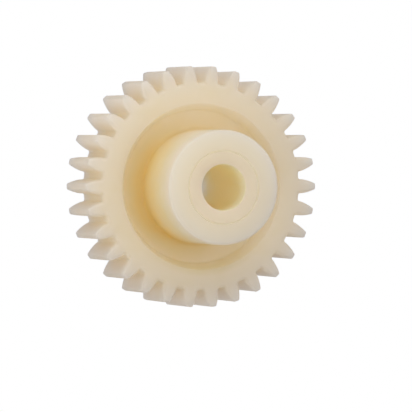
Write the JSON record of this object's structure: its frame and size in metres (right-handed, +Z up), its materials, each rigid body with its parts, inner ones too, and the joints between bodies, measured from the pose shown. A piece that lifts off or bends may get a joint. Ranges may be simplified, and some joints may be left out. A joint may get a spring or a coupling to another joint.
{
  "type": "pinion gear",
  "caption": "Moulded plastic spur pinion with straight involute teeth, a recessed web and a long round hub with a plain through bore.",
  "frame": {"origin": "on the bore's axis, in the middle of the toothed face width", "axes": "Y is the gear's axis, with the hub towards -Y; +Z is up, and one tooth is centred on +X"},
  "size_m": [0.0318, 0.018, 0.0318],
  "materials": {
    "acetal": "satin"
  },
  "bodies": {
    "root": {"pinion_gear": "acetal"}
  },
  "joints": []
}
